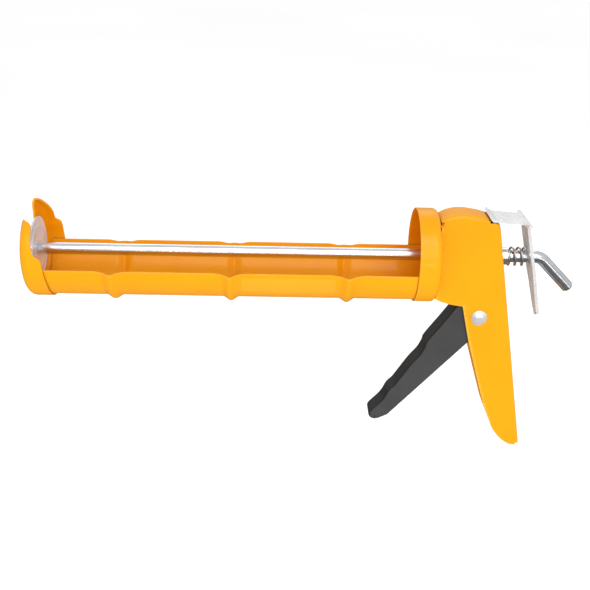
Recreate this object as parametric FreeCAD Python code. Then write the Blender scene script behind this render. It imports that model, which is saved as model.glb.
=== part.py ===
import FreeCAD, Part
import math
import os

# Half-barrel caulking gun, in millimetres.
# The origin is on the cartridge axis, on the outer face of the front wall.
# +X runs along the push rod to the handle, +Z is up, and the trigger hangs below.

V = FreeCAD.Vector

# ---------------------------------------------------------------- driving sizes
# Cradle: a half-round steel trough that carries the cartridge
cartridge_radius = 25.2
cradle_sheet = 1.0
barrel_length = 234.6
cradle_edge_drop = 3.7
rib_height = 2.3
rib_width = 10.0
rib_count = 3
first_rib_x = 49.3
last_rib_to_ring = 39.0
rib_edge_dip = 1.5
cradle_end_gap = 0.8

# Cups: the front cap and the rear ring are drawn from the same sheet
cup_sheet = 1.1
front_corner_radius = 4.6
rear_corner_radius = 3.0
rear_ring_depth = 12.3
cap_depth = 13.5
cap_lobe_top_z = 8.2
cap_lobe_depth = 12.4
horn_root_depth = 7.1
horn_tip_depth = 1.2
notch_radius = 9.7
horn_gap = 16.8
horn_bend_z = 19.0
lobe_shoulder = (0.8, -1.4)
lobe_round = (2.2, -0.2)
lobe_foot = (1.6, 0.3)
horn_foot = (0.1, 1.8)
horn_low_depth = 6.2
horn_middle_depth = 4.7
horn_middle_z = 18.6
horn_high_depth = 2.8
horn_high_z = 23.2

# Push rod and piston
rod_radius = 3.5
rod_bend_reach = 57.9
rod_bend_radius = 9.0
rod_bend_angle = 45.0
rod_tail_length = 24.0
rod_tail_chamfer = 1.2
tenon_radius = 2.6
peened_head_radius = 4.4
peened_head_height = 0.8
piston_radius = 18.4
piston_sheet = 1.0
piston_hub_radius = 6.5
piston_dish_depth = 0.3
piston_rim_width = 1.2
piston_dish_band = 4.4
piston_washer_radius = 5.6
piston_washer_thick = 0.6
piston_wall_gap = 0.3

# Handle: one folded sheet channel, open at the front
frame_width = 17.0
frame_sheet = 1.2
frame_fold_radius = 2.4
frame_crown_height = 27.5
frame_crown_reach = 12.9
frame_top_front_z = 23.4
frame_rear_top_reach = 34.4
frame_rear_top_z = 22.6
web_end_reach = 28.0
web_step = 1.5
handle_bottom_reach = 62.3
handle_bottom_z = -122.6
crown_front = (5.5, -1.2)
crown_rear = (9.0, -1.1)
web_end_rise = 1.4
rear_top_rise = 1.1
web_end_round = 0.6
foot_drop = 1.2
heel_steps = [(-1.7, -2.5), (-7.2, -1.1), (-13.1, 3.5), (-18.4, 10.7), (-24.2, 24.0)]
front_steps = [(7.5, -54.3), (1.0, -33.7), (-4.8, -14.7), (-10.3, 7.3)]
under_steps = [(-14.3, 7.8), (-19.4, 8.8), (-23.4, 10.0)]
flange_reach = 7.0
flange_half_height = 21.5
rivet_radius = 2.0
rivet_head_radius = 2.7
rivet_head_height = 1.2
rivet_inset = 4.3
rivet_z = 11.0

# Trigger: a folded channel, open at the back
pivot_reach = 28.0
pivot_z = -36.3
trigger_width = 13.4
trigger_sheet = 1.2
pivot_pin_radius = 3.0
pivot_head_radius = 4.85
pivot_head_height = 2.0
spacer_radius = 4.6
washer_radius = 6.2
washer_thick = 0.5
trigger_travel = 36.0
trigger_tip_radius = 3.6
trigger_tip_dx = -58.0
trigger_tip_dz = -68.8
trigger_tip_angle = -132.0
trigger_tip_end_angle = -78.0
finger_steps = [
    (-10.6, 10.8), (-20.3, -4.0), (-29.2, -17.0), (-30.7, -21.4), (-33.2, -26.8),
    (-38.3, -33.6), (-44.6, -43.8), (-47.2, -47.9), (-50.6, -51.8), (-54.0, -58.6),
]
palm_end_step = (-50.0, -68.6)
palm_heel_steps = [(-4.0, -16.4), (4.2, -8.4), (8.6, -1.8)]
boss_front_angle = 128.0
boss_top_angle = 64.0
push_pin_arm = 25.0
push_pin_radius = 2.0
push_boss_radius = 3.7

# Drive: two gripping plates on the rod, pushed back by a coil spring
drive_plate_thick = 2.0
drive_plate_top_z = 13.5
drive_plate_bottom_z = -18.5
drive_shoulder_z = -7.2
drive_spring_wire = 1.2
drive_spring_turns = 7.0
drive_washer_rim = 0.5
drive_washer_thick = 1.2

# Rod bushes, pressed into the ring's wall and the handle's back
bush_wall = 1.5
front_bush_length = 3.6
rear_bush_length = 5.6
rear_bush_reach = 36.2

# Release plate and its spring
release_sheet = 1.8
release_reach = 55.4
release_lean = 0.24
blade_half_width = 11.5
blade_tip_half_width = 6.6
blade_shoulder_z = -11.0
blade_tip_z = -36.5
blade_top_z = 20.6
arm_half_width = 8.4
arm_front_reach = 31.8
arm_front_z = 24.1
ear_half_width = 14.6
ear_depth = 3.2
lip_half_width = 9.6
lip_rise = 3.0
lip_run = 2.6
tongue_half_width = 4.0
tongue_drop = 6.0
release_hole_slot = 1.8
bend_inset = 0.8
bend_rise = 2.2
bend_run = 3.5
bend_fall = 0.25
neck_depth = 4.0
shoulder_taper = 5.0
taper_extra = 1.2
blade_top_inset = 2.0
tip_round_share = 0.75
ear_flat_share = 0.62
ear_extra = 0.8
lip_root = 0.6
tongue_inset = 0.2
tongue_thick = 1.44
release_spring_wire = 1.2
release_spring_turns = 3.0

# Clearances
running_gap = 0.06
plate_gap = 0.25
plate_side_gap = 0.4
side_gap = 0.1
push_gap = 0.25
tongue_gap = 0.6
spring_gap = 0.3
release_gap = 0.4
release_spring_gap = 1.0
past = 5.0

# ---------------------------------------------------------------- derived sizes
cup_inner_radius = cartridge_radius + cradle_sheet
cup_radius = cup_inner_radius + cup_sheet
ring_front_x = barrel_length - rear_ring_depth
ring_wall_x = barrel_length - cup_sheet
cradle_front_x = front_corner_radius + cradle_end_gap
cradle_rear_x = barrel_length - rear_corner_radius - cradle_end_gap
rib_pitch = (ring_front_x - last_rib_to_ring - first_rib_x) / (rib_count - 1)
rib_places = [first_rib_x + rib_pitch * i for i in range(rib_count)]
rod_bend_x = barrel_length + rod_bend_reach
frame_crown_x = barrel_length + frame_crown_reach
frame_rear_top_x = barrel_length + frame_rear_top_reach
web_end_x = barrel_length + web_end_reach
handle_bottom_x = barrel_length + handle_bottom_reach
pivot_x = barrel_length + pivot_reach
rear_bush_front_x = barrel_length + rear_bush_reach
release_axis_x = barrel_length + release_reach
arm_front_x = barrel_length + arm_front_reach
half_frame = frame_width / 2
half_inner = half_frame - frame_sheet
rivet_y = half_frame + rivet_inset
half_trigger = trigger_width / 2
half_trigger_inner = half_trigger - trigger_sheet
drive_tongue_half_width = half_trigger_inner - tongue_gap
rod_bore = rod_radius + running_gap
bush_radius = rod_radius + bush_wall
drive_spring_radius = bush_radius + spring_gap + drive_spring_wire / 2
drive_washer_radius = drive_spring_radius + drive_spring_wire / 2 + drive_washer_rim
release_hole_radius = rod_radius + release_gap
release_spring_radius = rod_radius + release_spring_gap + release_spring_wire / 2
rear_slope = (handle_bottom_x - frame_rear_top_x) / (frame_rear_top_z - handle_bottom_z)
pin_lead = math.radians(trigger_travel / 2)
push_pin_x = pivot_x + push_pin_arm * math.sin(pin_lead)
push_pin_z = pivot_z + push_pin_arm * math.cos(pin_lead)
drive_rear_x = push_pin_x - push_pin_radius - push_gap
drive_mid_x = drive_rear_x - drive_plate_thick
drive_front_x = drive_mid_x - drive_plate_thick
drive_seat_x = barrel_length + drive_washer_thick
head_front_x = cup_sheet + piston_wall_gap
washer_front_x = head_front_x + peened_head_height
hub_front_x = washer_front_x + piston_washer_thick
shoulder_x = hub_front_x + piston_sheet + side_gap / 2
rear_bush_end_x = rear_bush_front_x + rear_bush_length


# ---------------------------------------------------------------- drawing helpers
def at(x, z, y=0.0):
    """A point of a side-view outline."""
    return V(x, y, z)


def toward(degrees):
    """A unit step in side view, at an angle up from +X."""
    angle = math.radians(degrees)
    return V(math.cos(angle), 0, math.sin(angle))


def line(a, b):
    return Part.makeLine(a, b)


def curve(points, start=None, end=None):
    """A smooth curve through the points, with its end directions where they are given."""
    spline = Part.BSplineCurve()
    if start is None:
        spline.interpolate(Points=points)
    else:
        spline.interpolate(Points=points, InitialTangent=start, FinalTangent=end)
    return spline.toShape()


def arc(a, middle, b):
    return Part.Arc(a, middle, b).toShape()


def chain(points):
    """Straight edges from each point to the next."""
    return [line(a, b) for a, b in zip(points, points[1:])]


def face(edges):
    return Part.Face(Part.Wire(Part.__sortEdges__(edges)))


def across(edges, half_width):
    """A side-view outline made solid, centred on the middle plane."""
    solid = face(edges).extrude(V(0, 2 * half_width, 0))
    solid.translate(V(0, -half_width, 0))
    return solid


def along(radius, x0, x1, y=0.0, z=0.0):
    """A cylinder along X."""
    return Part.makeCylinder(radius, x1 - x0, V(x0, y, z), V(1, 0, 0))


def crosswise(radius, half_width, x, z):
    """A cylinder along Y, centred on the middle plane."""
    return Part.makeCylinder(radius, 2 * half_width, V(x, -half_width, z), V(0, 1, 0))


def tube_along(outer, inner, x0, x1):
    return along(outer, x0, x1).cut(along(inner, x0 - past, x1 + past))


def block(x0, x1, y0, y1, z0, z1):
    return Part.makeBox(x1 - x0, y1 - y0, z1 - z0, V(x0, y0, z0))


def dome(radius, height, centre, direction):
    """A rivet's head: a slice of a ball that stands on a flat seat."""
    ball_radius = (radius ** 2 + height ** 2) / (2 * height)
    ball = Part.makeSphere(ball_radius, centre - direction * (ball_radius - height))
    seat = Part.makeCylinder(radius + past, height + past, centre, direction)
    return ball.common(seat)


def coil(radius, wire, turns, x0, x1):
    """A coil spring along X that fills the space from x0 to x1."""
    run = x1 - x0 - wire
    path = Part.makeLongHelix(run / turns, run, radius)
    section = Part.Wire(Part.Circle(V(radius, 0, 0), V(0, 1, 0), wire / 2).toShape())
    spring = Part.Wire(path.Edges).makePipeShell([section], True, True)
    spring.rotate(V(0, 0, 0), V(0, 1, 0), 90)
    spring.translate(V(x0 + wire / 2, 0, 0))
    return spring


def shifted(points, distance):
    """The points moved sideways, to the left of the way they run."""
    moved = []
    last = len(points) - 1
    for i, point in enumerate(points):
        way = points[min(i + 1, last)] - points[max(i - 1, 0)]
        way.normalize()
        moved.append(point + V(-way.z, 0, way.x) * distance)
    return moved


def stepped(corner, steps):
    """The points that lie the given steps from a corner."""
    return [corner + at(dx, dz) for dx, dz in steps]


def rear_x(z, inset=0.0):
    """The handle's rear line at a height, or a line inset from it."""
    return frame_rear_top_x + rear_slope * (frame_rear_top_z - z) - inset


# ---------------------------------------------------------------- barrel
def cradle_line(radius):
    """The trough's lengthwise line at one radius, swelling at each pressed rib."""
    ends = V(1, 0, 0) * rib_width
    edges = []
    start = at(cradle_front_x, -radius)
    for x in rib_places:
        foot = at(x - rib_width / 2, -radius)
        heel = at(x + rib_width / 2, -radius)
        crest = at(x, -radius - rib_height)
        edges.append(line(start, foot))
        edges.append(curve([foot, crest, heel], ends, ends))
        start = heel
    edges.append(line(start, at(cradle_rear_x, -radius)))
    return edges


def cradle_trough():
    outer = cradle_line(cup_inner_radius)
    inner = cradle_line(cartridge_radius)
    front = line(at(cradle_front_x, -cartridge_radius), at(cradle_front_x, -cup_inner_radius))
    rear = line(at(cradle_rear_x, -cartridge_radius), at(cradle_rear_x, -cup_inner_radius))
    half_turn = 180
    skin = face(outer + inner + [front, rear])
    skin.rotate(V(0, 0, 0), V(1, 0, 0), -half_turn / 2)
    trough = skin.revolve(V(0, 0, 0), V(1, 0, 0), half_turn)
    return trough.cut(across(cradle_mouth(), cup_radius + rib_height + past))


def cradle_mouth():
    """Everything above the trough's long edges, which dip a little at each rib."""
    level = -cradle_edge_drop
    ends = V(1, 0, 0) * rib_width
    edges = []
    start = at(-past, level)
    for x in rib_places:
        foot = at(x - rib_width, level)
        heel = at(x + rib_width, level)
        edges.append(line(start, foot))
        edges.append(curve([foot, at(x, level - rib_edge_dip), heel], ends, ends))
        start = heel
    stop = at(barrel_length + past, level)
    edges.append(line(start, stop))
    edges += chain([stop, at(stop.x, cup_radius), at(-past, cup_radius), at(-past, level)])
    return edges


def cup(wall_x, mouth_x, corner):
    """A drawn cup on the X axis: a flat wall, a rounded corner and a round skirt."""
    way = 1 if mouth_x > wall_x else -1
    inner_corner = corner - cup_sheet
    centre_x = wall_x + way * corner
    centre_z = cup_radius - corner
    slant = math.sqrt(0.5)
    outer_middle = at(centre_x - way * corner * slant, centre_z + corner * slant)
    inner_middle = at(centre_x - way * inner_corner * slant, centre_z + inner_corner * slant)
    inner_wall_x = wall_x + way * cup_sheet
    edges = chain([at(inner_wall_x, 0), at(wall_x, 0), at(wall_x, centre_z)])
    edges.append(arc(at(wall_x, centre_z), outer_middle, at(centre_x, cup_radius)))
    edges += chain([
        at(centre_x, cup_radius),
        at(mouth_x, cup_radius),
        at(mouth_x, cup_inner_radius),
        at(centre_x, cup_inner_radius),
    ])
    edges.append(arc(at(centre_x, cup_inner_radius), inner_middle, at(inner_wall_x, centre_z)))
    edges.append(line(at(inner_wall_x, centre_z), at(inner_wall_x, 0)))
    return face(edges).revolve(V(0, 0, 0), V(1, 0, 0), 360)


def horn_line():
    """The cap's rear edge in side view: deep round the bottom, a step, then two horns."""
    lobe = curve([
        at(cap_depth, -cup_radius / 2),
        at(cap_lobe_depth, 0),
        at(cap_lobe_depth - lobe_shoulder[0], cap_lobe_top_z + lobe_shoulder[1]),
        at(cap_lobe_depth - lobe_round[0], cap_lobe_top_z + lobe_round[1]),
        at(horn_root_depth + lobe_foot[0], cap_lobe_top_z + lobe_foot[1]),
        at(horn_root_depth + horn_foot[0], cap_lobe_top_z + horn_foot[1]),
    ])
    horn = curve([
        at(horn_root_depth + horn_foot[0], cap_lobe_top_z + horn_foot[1]),
        at(horn_low_depth, cup_radius / 2),
        at(horn_middle_depth, horn_middle_z),
        at(horn_high_depth, horn_high_z),
        at(horn_tip_depth, cup_radius + past / 2),
    ])
    return [lobe, horn]


def front_cap():
    shell = cup(0.0, cap_depth, front_corner_radius)
    far_x = cap_depth + past
    high_z = cup_radius + past
    behind = horn_line()
    behind += chain([
        at(horn_tip_depth, cup_radius + past / 2),
        at(horn_tip_depth, high_z),
        at(far_x, high_z),
        at(far_x, -cup_radius / 2),
        at(cap_depth, -cup_radius / 2),
    ])
    shell = shell.cut(across(behind, cup_radius + past))
    return shell.cut(nozzle_notch())


def nozzle_notch():
    """The slot for the nozzle: half round about the axis, open at the top between the horns."""
    high_z = cup_radius + past
    low = V(-past, 0, -notch_radius)
    left = V(-past, -notch_radius, 0)
    right = V(-past, notch_radius, 0)
    left_bend = V(-past, -notch_radius, horn_bend_z)
    right_bend = V(-past, notch_radius, horn_bend_z)
    left_top = V(-past, -horn_gap / 2, high_z)
    right_top = V(-past, horn_gap / 2, high_z)
    edges = [
        arc(left, low, right),
        line(left, left_bend),
        line(right, right_bend),
        line(left_bend, left_top),
        line(right_bend, right_top),
        line(left_top, right_top),
    ]
    return face(edges).extrude(V(cap_depth + 2 * past, 0, 0))


def frame_rivet_places():
    return [(y, z) for y in (-rivet_y, rivet_y) for z in (-rivet_z, rivet_z)]


def rear_ring():
    ring = cup(barrel_length, ring_front_x, rear_corner_radius)
    ring = ring.cut(along(bush_radius, ring_wall_x - past, barrel_length + past))
    for y, z in frame_rivet_places():
        ring = ring.cut(along(rivet_radius, ring_wall_x - past, barrel_length + past, y, z))
    return ring


def frame_rivets():
    """Four solid rivets that hold the handle's flanges to the ring's wall."""
    back_x = barrel_length + frame_sheet
    rivets = []
    for y, z in frame_rivet_places():
        shank = along(rivet_radius, ring_wall_x, back_x, y, z)
        front = dome(rivet_head_radius, rivet_head_height, V(ring_wall_x, y, z), V(-1, 0, 0))
        back = dome(rivet_head_radius, rivet_head_height, V(back_x, y, z), V(1, 0, 0))
        rivets.append(shank.fuse([front, back]))
    return Part.makeCompound(rivets)


def front_rod_bush():
    back_x = ring_wall_x + front_bush_length
    return tube_along(bush_radius, rod_bore, ring_wall_x, back_x)


def rear_rod_bush():
    return tube_along(bush_radius, rod_bore, rear_bush_front_x, rear_bush_end_x)


# ---------------------------------------------------------------- handle
def frame_top_points():
    """The handle's crowned top, from the ring to the rear corner."""
    return [
        at(barrel_length, frame_top_front_z),
        at(barrel_length + crown_front[0], frame_crown_height + crown_front[1]),
        at(frame_crown_x, frame_crown_height),
        at(frame_crown_x + crown_rear[0], frame_crown_height + crown_rear[1]),
        at(web_end_x, frame_top_front_z + web_end_rise),
        at(frame_rear_top_x, frame_rear_top_z + rear_top_rise),
    ]


def frame_outline():
    """The side panel: crowned top, straight leaning back, rounded heel, open front."""
    top = frame_top_points()
    rear_top = at(frame_rear_top_x, frame_rear_top_z)
    heel_start = at(handle_bottom_x, handle_bottom_z)
    heel = [heel_start] + stepped(heel_start, heel_steps)
    front = [heel[-1]] + stepped(at(pivot_x, pivot_z), front_steps)
    foot = at(barrel_length, -frame_top_front_z - foot_drop)
    under = [front[-1]] + stepped(at(pivot_x, pivot_z), under_steps) + [foot]
    edges = [curve(top), line(top[-1], rear_top), line(rear_top, heel_start)]
    edges += [curve(heel), curve(front), curve(under), line(foot, top[0])]
    return edges


def frame_hollow():
    """The space inside the fold: under the top web and in front of the back web."""
    lowered = [point - V(0, 0, frame_sheet) for point in frame_top_points()[:-1]]
    inset = frame_sheet / math.cos(math.atan(rear_slope))
    low_z = handle_bottom_z - 4 * past
    rear_top = at(rear_x(lowered[-1].z, inset), lowered[-1].z)
    rear_low = at(rear_x(low_z, inset), low_z)
    front_x = barrel_length - 2 * past
    edges = [curve(lowered), line(lowered[-1], rear_top), line(rear_top, rear_low)]
    edges += chain([rear_low, at(front_x, low_z), at(front_x, lowered[0].z), lowered[0]])
    return edges


def ring_flange(side):
    """One side panel's flange, folded outwards against the ring's wall."""
    x0 = barrel_length
    x1 = x0 + frame_sheet
    inner_y = half_inner
    outer_y = half_frame
    bend_x = x0 + frame_fold_radius
    bend_y = inner_y + frame_fold_radius
    tip_y = bend_y + flange_reach - frame_sheet
    slant = 1 - math.sqrt(0.5)
    inner_fold = frame_fold_radius - frame_sheet
    back_arc_middle = V(x1 + inner_fold * slant, outer_y + inner_fold * slant, 0)
    front_arc_middle = V(x0 + frame_fold_radius * slant, inner_y + frame_fold_radius * slant, 0)
    edges = chain([
        V(bend_x, inner_y, 0),
        V(bend_x, outer_y, 0),
    ])
    edges.append(arc(V(bend_x, outer_y, 0), back_arc_middle, V(x1, bend_y, 0)))
    edges += chain([V(x1, bend_y, 0), V(x1, tip_y, 0), V(x0, tip_y, 0), V(x0, bend_y, 0)])
    edges.append(arc(V(x0, bend_y, 0), front_arc_middle, V(bend_x, inner_y, 0)))
    flange = face(edges).extrude(V(0, 0, 2 * flange_half_height))
    flange.translate(V(0, 0, -flange_half_height))
    if side < 0:
        flange = flange.mirror(V(0, 0, 0), V(0, 1, 0))
    return flange


def handle_frame():
    shell = across(frame_outline(), half_frame).cut(across(frame_hollow(), half_inner))
    bend_x = barrel_length + frame_fold_radius
    strip = block(barrel_length - past, bend_x, -half_frame - past, half_frame + past,
                  -flange_half_height, flange_half_height)
    shell = shell.cut(strip)
    flanges = [ring_flange(1), ring_flange(-1)]
    shell = shell.fuse(flanges)
    shell = shell.cut(hook_window())
    shell = shell.cut(along(bush_radius, rear_bush_front_x - past, rear_bush_end_x + past))
    shell = shell.cut(crosswise(pivot_pin_radius, half_frame + past, pivot_x, pivot_z))
    for y, z in frame_rivet_places():
        shell = shell.cut(along(rivet_radius, barrel_length - past, barrel_length + past, y, z))
    return shell.removeSplitter()


def hook_window():
    """The gap at the top rear corner, with a round end in the web, for the release plate."""
    high_z = frame_crown_height + past
    bite_x = web_end_x + half_frame + past - web_end_round
    bite = Part.makeCylinder(half_frame + past, 2 * past + tongue_drop,
                             V(bite_x, 0, frame_rear_top_z - frame_sheet),
                             V(0, 0, 1))
    low_z = arm_front_z - release_sheet - 2 * push_gap
    step = block(web_end_x + web_step, frame_rear_top_x + 2 * past,
                 -half_frame - past, half_frame + past, low_z, high_z)
    inner = block(web_end_x - past, frame_rear_top_x + past, -half_inner, half_inner, low_z, high_z)
    throat = bite.common(inner)
    return throat.fuse(step)


# ---------------------------------------------------------------- trigger
def trigger_front_points():
    """The finger side of the trigger, from under the ring to the tip, with two soft steps."""
    return stepped(at(pivot_x, pivot_z), finger_steps)


def trigger_front_curve(distance):
    """The finger line or a line inside it, running straight into the tip's round end."""
    way = toward(trigger_tip_angle)
    inward = toward(trigger_tip_angle + 90)
    centre = at(pivot_x + trigger_tip_dx, pivot_z + trigger_tip_dz)
    points = shifted(trigger_front_points(), distance)
    end = centre - inward * (trigger_tip_radius - distance)
    start_way = points[1] - points[0]
    return curve(points + [end], start_way, way * start_way.Length), points[0], end


def trigger_outline():
    """One side of the trigger: finger edge, round tip, straight palm edge and pin boss."""
    front, front_top, tip_start = trigger_front_curve(0.0)
    centre = at(pivot_x + trigger_tip_dx, pivot_z + trigger_tip_dz)
    tip_middle = centre + toward(trigger_tip_angle) * trigger_tip_radius
    tip_end = centre + toward(trigger_tip_end_angle) * trigger_tip_radius
    pivot = at(pivot_x, pivot_z)
    palm_end = pivot + at(*palm_end_step)
    heel = stepped(pivot, palm_heel_steps)
    boss = at(push_pin_x, push_pin_z)
    boss_front = boss + toward(boss_front_angle) * push_boss_radius
    boss_top = boss + toward(boss_top_angle) * push_boss_radius
    boss_rear = boss + at(push_boss_radius, 0)
    edges = [
        front,
        arc(tip_start, tip_middle, tip_end),
        line(tip_end, palm_end),
        line(palm_end, heel[0]),
        curve(heel),
        line(heel[-1], boss_rear),
        arc(boss_rear, boss_top, boss_front),
        line(boss_front, front_top),
    ]
    return edges


def trigger_hollow():
    """The space behind the finger web, open towards the hand."""
    inner, top, low = trigger_front_curve(trigger_sheet)
    start_way = trigger_front_points()[0] - trigger_front_points()[1]
    ahead = top + start_way / 2
    open_x = pivot_x + push_pin_arm + past
    high_z = pivot_z + 2 * push_pin_arm + 2 * past
    centre = at(pivot_x + trigger_tip_dx, pivot_z + trigger_tip_dz)
    thin = trigger_tip_radius - trigger_sheet
    floor_middle = centre + toward(trigger_tip_angle) * thin
    floor = centre + toward(trigger_tip_end_angle) * thin
    edges = [line(ahead, top), inner, arc(low, floor_middle, floor)]
    edges += chain([
        floor,
        at(pivot_x + palm_end_step[0] + past, floor.z),
        at(open_x, pivot_z - push_pin_arm - 3 * past),
        at(open_x, high_z),
        at(ahead.x, high_z),
        ahead,
    ])
    return edges


def trigger():
    shell = across(trigger_outline(), half_trigger)
    shell = shell.cut(across(trigger_hollow(), half_trigger_inner))
    shell = shell.cut(crosswise(pivot_pin_radius + running_gap, half_frame, pivot_x, pivot_z))
    return shell.cut(crosswise(push_pin_radius, half_frame, push_pin_x, push_pin_z))


def trigger_push_pin():
    return crosswise(push_pin_radius, half_trigger + side_gap, push_pin_x, push_pin_z)


def trigger_pivot_rivet():
    shank = crosswise(pivot_pin_radius, half_frame, pivot_x, pivot_z)
    near = dome(pivot_head_radius, pivot_head_height, V(pivot_x, -half_frame, pivot_z), V(0, -1, 0))
    far = dome(pivot_head_radius, pivot_head_height, V(pivot_x, half_frame, pivot_z), V(0, 1, 0))
    return shank.fuse([near, far])


def pivot_spacer():
    """A tube on the rivet, between the trigger's sides."""
    half = half_trigger_inner - side_gap
    tube = crosswise(spacer_radius, half, pivot_x, pivot_z)
    return tube.cut(crosswise(pivot_pin_radius, half + past, pivot_x, pivot_z))


def pivot_washers():
    """Two thin washers that centre the trigger between the handle's panels."""
    washers = []
    for side in (-1, 1):
        near_y = half_inner - washer_thick if side > 0 else -half_inner
        disc = Part.makeCylinder(washer_radius, washer_thick, V(pivot_x, near_y, pivot_z), V(0, 1, 0))
        washers.append(disc.cut(crosswise(pivot_pin_radius, half_frame, pivot_x, pivot_z)))
    return Part.makeCompound(washers)


# ---------------------------------------------------------------- drive
def drive_plate(x0):
    """A gripping plate: wide over the rod, narrow below, where the trigger's arms pass it."""
    x1 = x0 + drive_plate_thick
    half = half_inner - plate_side_gap
    head = block(x0, x1, -half, half, drive_shoulder_z, drive_plate_top_z)
    corners = [e for e in head.Edges if abs(e.CenterOfMass.z - drive_plate_top_z) < side_gap
               and abs(abs(e.CenterOfMass.y) - half) < side_gap]
    head = head.makeFillet(half / 3, corners)
    tongue = block(x0, x1, -drive_tongue_half_width, drive_tongue_half_width,
                   drive_plate_bottom_z, drive_shoulder_z)
    return head.fuse(tongue).cut(along(rod_radius + plate_gap, x0 - past, x1 + past)).removeSplitter()


def drive_spring_washer():
    return tube_along(drive_washer_radius, bush_radius + side_gap, barrel_length, drive_seat_x)


def drive_spring():
    return coil(drive_spring_radius, drive_spring_wire, drive_spring_turns, drive_seat_x, drive_front_x)


# ---------------------------------------------------------------- rod and piston
def push_rod():
    """A bright bar: peened through the piston at the front, bent down for a finger at the back."""
    bend = math.radians(rod_bend_angle)
    start = at(shoulder_x, 0)
    bend_start = at(rod_bend_x, 0)
    bend_middle = at(rod_bend_x + rod_bend_radius * math.sin(bend / 2),
                     -rod_bend_radius * (1 - math.cos(bend / 2)))
    bend_end = at(rod_bend_x + rod_bend_radius * math.sin(bend),
                  -rod_bend_radius * (1 - math.cos(bend)))
    tail_way = at(math.cos(bend), -math.sin(bend))
    path = Part.Wire([line(start, bend_start), arc(bend_start, bend_middle, bend_end)])
    section = Part.Wire(Part.Circle(start, V(1, 0, 0), rod_radius).toShape())
    bar = path.makePipeShell([section], True, False)
    straight = rod_tail_length - rod_tail_chamfer
    tail = Part.makeCylinder(rod_radius, straight, bend_end, tail_way)
    tip = Part.makeCone(rod_radius, rod_radius - rod_tail_chamfer, rod_tail_chamfer,
                        bend_end + tail_way * straight, tail_way)
    tenon = along(tenon_radius, washer_front_x - peened_head_height / 2, shoulder_x)
    head = dome(peened_head_radius, peened_head_height, V(washer_front_x, 0, 0), V(-1, 0, 0))
    return bar.fuse([tail, tip, tenon, head]).removeSplitter()


def piston_disc():
    """A pressed plate: its hub stands forward and its rim is turned back."""
    lip_x = hub_front_x + piston_dish_depth + piston_rim_width
    inner_x = hub_front_x + piston_sheet
    bore = tenon_radius + running_gap
    cone_foot = piston_radius - piston_dish_band
    front = [
        at(hub_front_x, bore), at(hub_front_x, piston_hub_radius),
        at(hub_front_x + piston_dish_depth, cone_foot),
        at(hub_front_x + piston_dish_depth, piston_radius - piston_rim_width),
    ]
    rim_centre = at(hub_front_x + piston_dish_depth + piston_rim_width, piston_radius - piston_rim_width)
    slant = math.sqrt(0.5)
    outer_middle = rim_centre + at(-piston_rim_width * slant, piston_rim_width * slant)
    thin = piston_rim_width - piston_sheet
    inner_middle = rim_centre + at(-thin * slant, thin * slant)
    edges = chain(front)
    edges.append(arc(front[-1], outer_middle, at(lip_x, piston_radius)))
    edges.append(line(at(lip_x, piston_radius), at(lip_x, piston_radius - piston_sheet)))
    back_rim = at(inner_x + piston_dish_depth, piston_radius - piston_rim_width)
    edges.append(arc(at(lip_x, piston_radius - piston_sheet), inner_middle, back_rim))
    edges += chain([
        back_rim,
        at(inner_x + piston_dish_depth, cone_foot - piston_sheet / 2),
        at(inner_x, piston_hub_radius - piston_sheet / 2),
        at(inner_x, bore),
        at(hub_front_x, bore),
    ])
    return face(edges).revolve(V(0, 0, 0), V(1, 0, 0), 360)


def piston_washer():
    return tube_along(piston_washer_radius, tenon_radius + running_gap, washer_front_x, hub_front_x)


# ---------------------------------------------------------------- release plate
def blade_x(z):
    return release_axis_x - release_lean * z


def release_side_line():
    """The plate's folded line in side view: lip, arm, bend and leaning blade."""
    corner = at(blade_x(blade_top_z) - bend_inset, blade_top_z + bend_rise)
    return [
        at(arm_front_x, arm_front_z),
        corner + at(-bend_run, bend_fall),
        corner,
        at(blade_x(blade_top_z), blade_top_z),
        at(blade_x(blade_tip_z), blade_tip_z),
    ]


def strip(points, half_width):
    """A bent sheet strip with its middle on a side-view line."""
    half = release_sheet / 2
    upper = shifted(points, half)
    lower = shifted(points, -half)
    return across(chain(upper + lower[::-1] + [upper[0]]), half_width)


def blade_mask():
    """The blade seen from behind: square shoulders, then a narrow rounded tongue."""
    taper_z = blade_shoulder_z - shoulder_taper
    end_z = blade_tip_z + blade_tip_half_width * tip_round_share
    wide = blade_half_width
    narrow = blade_tip_half_width
    x = release_axis_x - 3 * past
    top = blade_top_z - blade_top_inset
    right = [V(x, wide, top), V(x, wide, blade_shoulder_z), V(x, narrow + taper_extra, taper_z),
             V(x, narrow, end_z)]
    left = [V(x, -p.y, p.z) for p in reversed(right)]
    edges = chain(right) + chain(left)
    edges.append(arc(right[-1], V(x, 0, blade_tip_z), left[0]))
    edges.append(line(left[-1], right[0]))
    return face(edges).extrude(V(6 * past, 0, 0))


def release_plate():
    """A plated steel blade on the rod, with an arm that hooks into the handle's top."""
    side = release_side_line()
    blade = strip(side[2:], blade_half_width + past).common(blade_mask())
    neck_z = blade_top_z - neck_depth
    neck = strip([side[2], side[3], at(blade_x(neck_z), neck_z)], arm_half_width)
    arm = strip(side[:3], arm_half_width)
    ear = ear_bar(side[2])
    lip_top = at(arm_front_x - lip_run, arm_front_z + lip_rise)
    lip = strip([at(arm_front_x + lip_root, arm_front_z), lip_top], lip_half_width)
    tongue_x = arm_front_x - tongue_inset
    tongue = block(tongue_x, tongue_x + tongue_thick, -tongue_half_width, tongue_half_width,
                   arm_front_z - tongue_drop, arm_front_z)
    plate = blade.fuse([neck, arm, ear, lip, tongue])
    return plate.cut(release_hole()).removeSplitter()


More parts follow.
